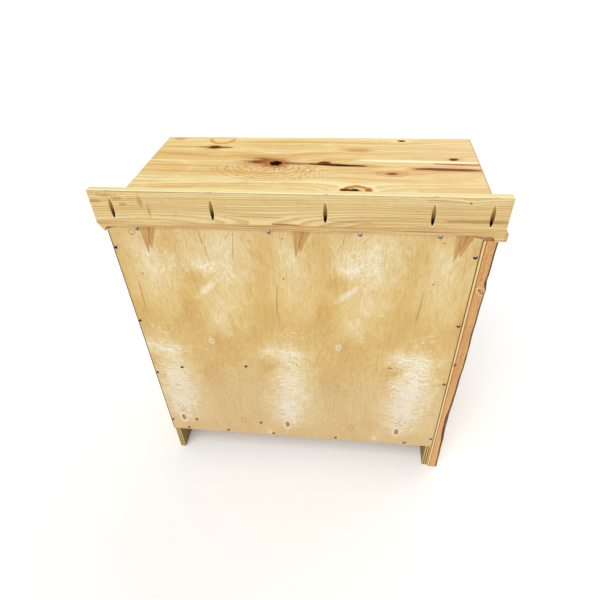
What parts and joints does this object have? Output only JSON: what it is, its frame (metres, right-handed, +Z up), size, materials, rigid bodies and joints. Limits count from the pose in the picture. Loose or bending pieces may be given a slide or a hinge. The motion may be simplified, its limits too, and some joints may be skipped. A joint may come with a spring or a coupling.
{
  "type": "bathroom vanity unit",
  "caption": "Rustic hickory bathroom vanity with a plank top and back splash, a live-edge end slab, hinged doors and sliding drawers",
  "frame": {"origin": "on the floor, under the middle of the unit's box", "axes": "+X to the right as seen from the front, +Y to the wall behind, +Z up"},
  "size_m": [0.947, 0.56, 0.992],
  "materials": {
    "top_wood": "clear satin varnish over rustic hickory planks with knots",
    "splash_wood": "clear satin varnish over hickory",
    "slab_wood": "clear satin varnish, bark left on the wane",
    "frame_wood": "clear satin varnish over rustic hickory",
    "door_wood": "clear satin varnish over rustic hickory",
    "drawer_wood": "clear satin varnish over rustic hickory",
    "box_wood": "bare sanded maple",
    "plywood": "sanded plywood, clear sealer",
    "back_plywood": "rotary-cut plywood, clear sealer",
    "black_iron": "oil-rubbed black",
    "black_screws": "black oxide with bright wear",
    "zinc": "bright zinc plate",
    "slide_steel": "zinc-plated sheet"
  },
  "bodies": {
    "case": {"countertop": "top_wood", "backsplash": "splash_wood", "backsplash_screws": "zinc", "side_panel_right": "plywood", "side_panel_left": "plywood", "end_slab": "slab_wood", "end_slab_screws": "zinc", "bottom_panel": "plywood", "partition": "plywood", "back_panel": "back_plywood", "back_panel_screws": "black_screws", "stretcher_front": "plywood", "stretcher_rear": "plywood", "countertop_screws": "zinc", "bay_rails_rear": "plywood", "toe_board": "plywood", "frame_stile_left": "frame_wood", "frame_stile_right": "frame_wood", "frame_stile_middle": "frame_wood", "frame_top_rail": "frame_wood", "frame_bottom_rail": "frame_wood", "frame_drawer_rails": "frame_wood", "shelf": "plywood", "shelf_pins": "zinc", "door_catch": "slide_steel", "slide_packers": "plywood", "slide_case_members": "slide_steel", "hinge_frame_leaves": "black_iron", "hinge_pins": "black_iron"},
    "door_left": {"door_left_stiles": "door_wood", "door_left_rails": "door_wood", "door_left_panel": "door_wood", "door_left_knob": "black_iron", "door_left_hinge_leaves": "black_iron", "door_left_strike": "slide_steel"},
    "door_right": {"door_right_stiles": "door_wood", "door_right_rails": "door_wood", "door_right_panel": "door_wood", "door_right_knob": "black_iron", "door_right_hinge_leaves": "black_iron", "door_right_strike": "slide_steel"},
    "drawer_upper": {"drawer_upper_front": "drawer_wood", "drawer_upper_box": "box_wood", "drawer_upper_bottom": "plywood", "drawer_upper_pull": "black_iron", "drawer_upper_slide_members": "slide_steel"},
    "drawer_middle": {"drawer_middle_front": "drawer_wood", "drawer_middle_box": "box_wood", "drawer_middle_bottom": "plywood", "drawer_middle_pull": "black_iron", "drawer_middle_slide_members": "slide_steel"},
    "drawer_lower": {"drawer_lower_front": "drawer_wood", "drawer_lower_box": "box_wood", "drawer_lower_bottom": "plywood", "drawer_lower_pull": "black_iron", "drawer_lower_slide_members": "slide_steel"},
    "runner_upper": {"runner_upper": "slide_steel"},
    "runner_middle": {"runner_middle": "slide_steel"},
    "runner_lower": {"runner_lower": "slide_steel"}
  },
  "joints": [
    {"name": "door_left_swing", "type": "hinge", "parent": "case", "child": "door_left", "pos_m": [-0.37925, -0.2528, 0.499], "axis": [0, 0, -1], "range_deg": [0, 110]},
    {"name": "door_right_swing", "type": "hinge", "parent": "case", "child": "door_right", "pos_m": [0.12175, -0.2528, 0.499], "axis": [0, 0, 1], "range_deg": [0, 90]},
    {"name": "drawer_upper_slide", "type": "slide", "parent": "case", "child": "drawer_upper", "axis": [0, -1, 0], "range_m": [0, 0.38]},
    {"name": "runner_upper_slide", "type": "slide", "parent": "case", "child": "runner_upper", "axis": [0, -1, 0], "range_m": [0, 0.19]},
    {"name": "drawer_middle_slide", "type": "slide", "parent": "case", "child": "drawer_middle", "axis": [0, -1, 0], "range_m": [0, 0.38]},
    {"name": "runner_middle_slide", "type": "slide", "parent": "case", "child": "runner_middle", "axis": [0, -1, 0], "range_m": [0, 0.19]},
    {"name": "drawer_lower_slide", "type": "slide", "parent": "case", "child": "drawer_lower", "axis": [0, -1, 0], "range_m": [0, 0.38]},
    {"name": "runner_lower_slide", "type": "slide", "parent": "case", "child": "runner_lower", "axis": [0, -1, 0], "range_m": [0, 0.19]}
  ],
  "couplings": [
    {"joint": "runner_upper_slide", "follows": "drawer_upper_slide", "ratio": 0.5},
    {"joint": "runner_middle_slide", "follows": "drawer_middle_slide", "ratio": 0.5},
    {"joint": "runner_lower_slide", "follows": "drawer_lower_slide", "ratio": 0.5}
  ]
}
